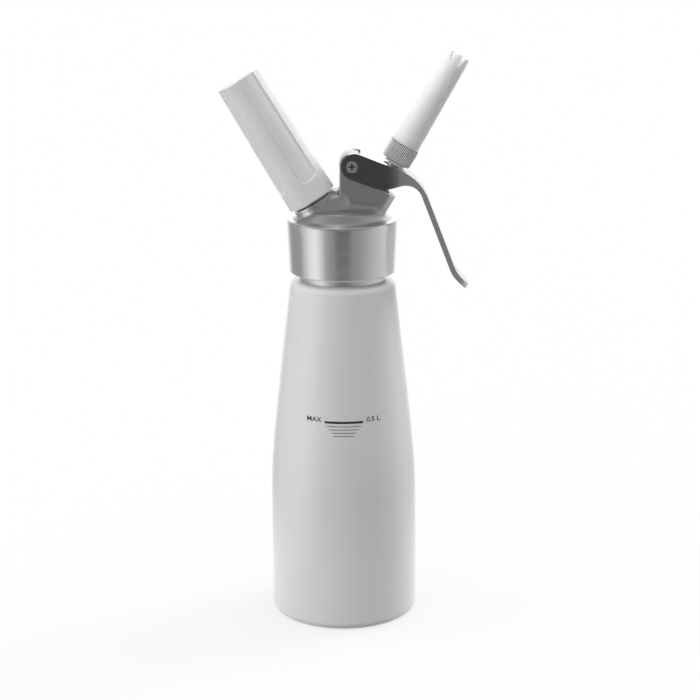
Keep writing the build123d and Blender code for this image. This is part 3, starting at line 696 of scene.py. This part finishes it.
def add_shoulder(part):
    """Metal that runs from the port's flank to the flats of the arm, as one hull each side."""
    for side in (-1, 1):
        corners = []
        for level in SHOULDER_LEVELS:
            for angle in range(SHOULDER_FROM, 91, 10):
                turn = math.radians(angle)
                away = Vector((0, side * math.cos(turn), 0)) + across_gas * math.sin(turn)
                corners.append(hub + gas_dir * level + away * SHOULDER_R)
        for x in SHOULDER_X:
            for z in SHOULDER_Z:
                for y in (0, side * SHOULDER_Y):
                    corners.append(Vector((x, y, z)))
        rows = [part.verts.new(corner) for corner in corners]
        hull = bmesh.ops.convex_hull(part, input=rows)
        loose = [item for item in hull["geom_interior"] if isinstance(item, bmesh.types.BMVert)]
        bmesh.ops.delete(part, geom=loose, context="VERTS")
    return part


def on_port(point):
    """Whether a point lies on the machined wall of the charger port."""
    place = point - hub
    level = place.dot(gas_dir)
    away = (place - gas_dir * level).length
    on_wall = level > PORT_FROM and PORT_WALL[0] < away < PORT_WALL[1]
    return on_wall and place.dot(across_gas) < PORT_SIDE


def cast_head(cast, turned, machined):
    """The casting: turned collar as drawn, top with its forms blended as in a real casting."""
    upper = closed(half_of("head_casting", HEAD_CUT_Z, True))
    points, quads = remeshed(add_shoulder(upper), HEAD_VOXEL)
    points = soften(points, quads, soft_share(points), convex_share(points))
    shown = quads[(points[quads][:, :, 2] > COLLAR_TOP_Z + SEAM_LIFT).any(axis=1)]
    collar = half_of("head_casting", COLLAR_TOP_Z + SEAM_LIFT, False)
    for face in collar.faces:
        face.material_index = TURNED
    used, index = np.unique(shown, return_inverse=True)
    index = index.reshape(shown.shape)
    rows = [collar.verts.new(points[i]) for i in used]
    for quad in index:
        face = collar.faces.new([rows[i] for i in quad])
        face.material_index = MACHINED if on_port(face.calc_center_median()) else CAST
    mesh = bpy.data.meshes.new("head_shell")
    collar.to_mesh(mesh)
    collar.free()
    shell = put("head_shell", mesh)
    for material in (cast, turned, machined):
        mesh.materials.append(material)
    smooth_by_angle(shell, HARD_ANGLE)
    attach(shell, "head")
    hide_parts("head_casting")


def smooth_by_angle(piece, degrees):
    """Smooth shading with hard edges above the angle."""
    work = bmesh.new()
    work.from_mesh(piece.data)
    limit = math.radians(degrees)
    for face in work.faces:
        face.smooth = True
    for edge in work.edges:
        edge.smooth = len(edge.link_faces) != 2 or edge.calc_face_angle(0) < limit
    work.to_mesh(piece.data)
    work.free()


def valve_spring(steel):
    """Coil spring, as its own mesh carried by the head."""
    mesh = nodes["valve_spring"].data.copy()
    mesh.materials.clear()
    mesh.materials.append(steel)
    spring = put("spring_coil", mesh)
    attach(spring, "head")
    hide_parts("valve_spring")
    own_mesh(spring)


# ---------------------------------------------------------------- floor and light
FLOOR_SIZE = 12.0
FLOOR_LEVEL = 0.22         # its grey, which takes the shadow and gives the bounce
FLOOR_GLOW = 0.73          # added to what the camera and reflections see of it
FLOOR_NEAR = 0.06          # from the bottle's axis; reflections show the floor itself within it
FLOOR_FAR = 0.30           # and the room's own tones past it

CARD_Y = (-0.675, -0.45)   # a dark card lies on the floor in front, seen in reflections only
CARD_SIDES = (-0.99, -0.94)     # Y over the distance from the axis, from full card to none
CARD_LEVEL = 0.048

# Brightness of the room round the object by compass direction, as shares of a turn: 0 is
# behind the camera, 0.25 its right, 0.5 behind the object and 0.75 the camera's left.
# ROOM_SEEN is what reflections show, and ROOM_LIGHT is what lights the object.
ROOM_SEEN = (
    (0.0, 0.33), (0.06, 0.28), (0.105, 0.345), (0.144, 0.44), (0.19, 0.55), (0.25, 0.65),
    (0.29, 0.76), (0.335, 0.53), (0.38, 0.60), (0.43, 1.10), (0.5, 1.35), (0.56, 0.90),
    (0.63, 0.34), (0.72, 0.34), (0.77, 0.70), (0.80, 0.93), (0.84, 1.05), (0.87, 0.76),
    (0.905, 0.38), (0.94, 0.30), (1.0, 0.33),
)
ROOM_LIGHT = (
    (0.0, 0.52), (0.05, 0.15), (0.10, 0.02), (0.20, 0.04), (0.25, 0.25), (0.295, 2.9),
    (0.33, 8.0), (0.365, 3.6), (0.42, 0.5), (0.583, 0.35), (0.65, 1.5), (0.71, 2.7),
    (0.77, 2.5), (0.84, 2.0), (0.92, 1.6), (1.0, 0.52),
)
ROOM_RAISED = 0.20         # in front above the horizon, seen in reflections
ROOM_TOP_SEEN = (0.24, 0.95)    # overhead to the front and to the back, seen in reflections
ROOM_TOP_LIGHT = (0.62, 1.60)   # overhead to the left and to the right, as light

# Where those tones set in and are full, by the parts of the direction's unit vector
RAISED_Z = (0.02, 0.25)
RAISED_Y = (-0.6, 0.0)          # full in front, gone at the side
RAISED_SHARE = 0.6
TOP_SEEN_Z = (0.45, 0.9)
TOP_SEEN_Y = (-0.15, 0.65)
TOP_LIGHT_Z = (0.35, 0.85)
TOP_LIGHT_X = (-0.55, 0.55)


def turn_round(shader, place):
    """Compass direction of a place or direction seen from the bottle's axis."""
    turn = shader.math("ARCTAN2", place["X"], shader.math("MULTIPLY", place["Y"], -1.0))
    return shader.math("FRACT", shader.math("MULTIPLY_ADD", turn, 0.5 / math.pi, 1.0))


def emission(shader, colour, kind="ShaderNodeEmission"):
    """Light of a colour, which is a tuple or an output."""
    node = shader.add(kind)
    if isinstance(colour, tuple):
        node.inputs["Color"].default_value = (*colour, 1)
    else:
        shader.link(colour, node.inputs["Color"])
    return node.outputs[0]


def either(shader, factor, first, second):
    """Mix of two closures."""
    node = shader.add("ShaderNodeMixShader")
    for socket, output in zip(node.inputs, (factor, first, second)):
        shader.link(output, socket)
    return node.outputs[0]


def make_floor():
    """Plain pale floor that keeps a soft shadow; its glow is seen but lights nothing."""
    half = FLOOR_SIZE / 2
    corners = [(-half, -half, 0), (half, -half, 0), (half, half, 0), (-half, half, 0)]
    mesh = bpy.data.meshes.new("floor")
    mesh.from_pydata(corners, [], [(0, 1, 2, 3)])
    floor = put("floor", mesh)
    material = bpy.data.materials.new("floor")
    material.use_nodes = True
    shader = Shader(material.node_tree)
    material.node_tree.nodes.clear()
    path = shader.add("ShaderNodeLightPath").outputs
    seen = shader.math("MAXIMUM", path["Is Camera Ray"], path["Is Glossy Ray"])
    seen = shader.math("MAXIMUM", seen, path["Is Transmission Ray"])
    diffuse = shader.add("ShaderNodeBsdfDiffuse")
    diffuse.inputs["Color"].default_value = (*grey(FLOOR_LEVEL), 1)
    glow = shader.add("ShaderNodeEmission")
    shader.link(shader.math("MULTIPLY", seen, FLOOR_GLOW), glow.inputs["Strength"])
    both = shader.add("ShaderNodeAddShader")
    shader.link(diffuse.outputs[0], both.inputs[0])
    shader.link(glow.outputs[0], both.inputs[1])
    place = shader.place()
    far = shader.between(radius_from_axis(shader, place), FLOOR_NEAR, FLOOR_FAR)
    far = shader.math("MULTIPLY", far, path["Is Glossy Ray"])
    ahead = shader.math("DIVIDE", place["Y"], radius_from_axis(shader, place))
    card = shader.between(ahead, *CARD_SIDES, 1.0, 0.0)
    front = shader.between(place["Y"], *CARD_Y, 1.0, 0.0)
    card = shader.math("MULTIPLY", card, front)
    seen_round = shader.ramp(turn_round(shader, place), ROOM_SEEN)
    level = shader.mix(card, seen_round, grey(CARD_LEVEL))
    room = emission(shader, level)
    output = shader.add("ShaderNodeOutputMaterial")
    shader.link(either(shader, far, both.outputs[0], room), output.inputs["Surface"])
    mesh.materials.append(material)


def make_world():
    """White behind the object; the room is dim in front and has bright panels at its sides."""
    world = bpy.data.worlds.new("room")
    bpy.context.scene.world = world
    world.use_nodes = True
    shader = Shader(world.node_tree)
    world.node_tree.nodes.clear()
    split = shader.add("ShaderNodeSeparateXYZ")
    shader.link(shader.add("ShaderNodeTexCoord").outputs["Generated"], split.inputs[0])
    turn = turn_round(shader, split.outputs)
    high = shader.between(split.outputs["Z"], *TOP_SEEN_Z)
    top = shader.between(split.outputs["Y"], *TOP_SEEN_Y, *ROOM_TOP_SEEN)
    raised = shader.between(split.outputs["Z"], *RAISED_Z, 0.0, RAISED_SHARE)
    front = shader.between(split.outputs["Y"], *RAISED_Y, 1.0, 0.0)
    raised = shader.math("MULTIPLY", raised, front)
    seen = shader.mix(raised, shader.ramp(turn, ROOM_SEEN), grey(ROOM_RAISED))
    seen = shader.mix(high, seen, top)
    high = shader.between(split.outputs["Z"], *TOP_LIGHT_Z)
    top = shader.between(split.outputs["X"], *TOP_LIGHT_X, *ROOM_TOP_LIGHT)
    light = shader.mix(high, shader.ramp(turn, ROOM_LIGHT), top)
    path = shader.add("ShaderNodeLightPath").outputs
    lit, mirrored, white = (
        emission(shader, colour, "ShaderNodeBackground") for colour in (light, seen, grey(1.0))
    )
    room = either(shader, path["Is Glossy Ray"], lit, mirrored)
    room = either(shader, path["Is Camera Ray"], room, white)
    output = shader.add("ShaderNodeOutputWorld")
    shader.link(room, output.inputs["Surface"])


bpy.context.scene.view_settings.view_transform = "Standard"
make_camera()
make_world()
make_floor()
finish_nodes()
fill_mark(ink_material())

bpy.context.view_layer.update()
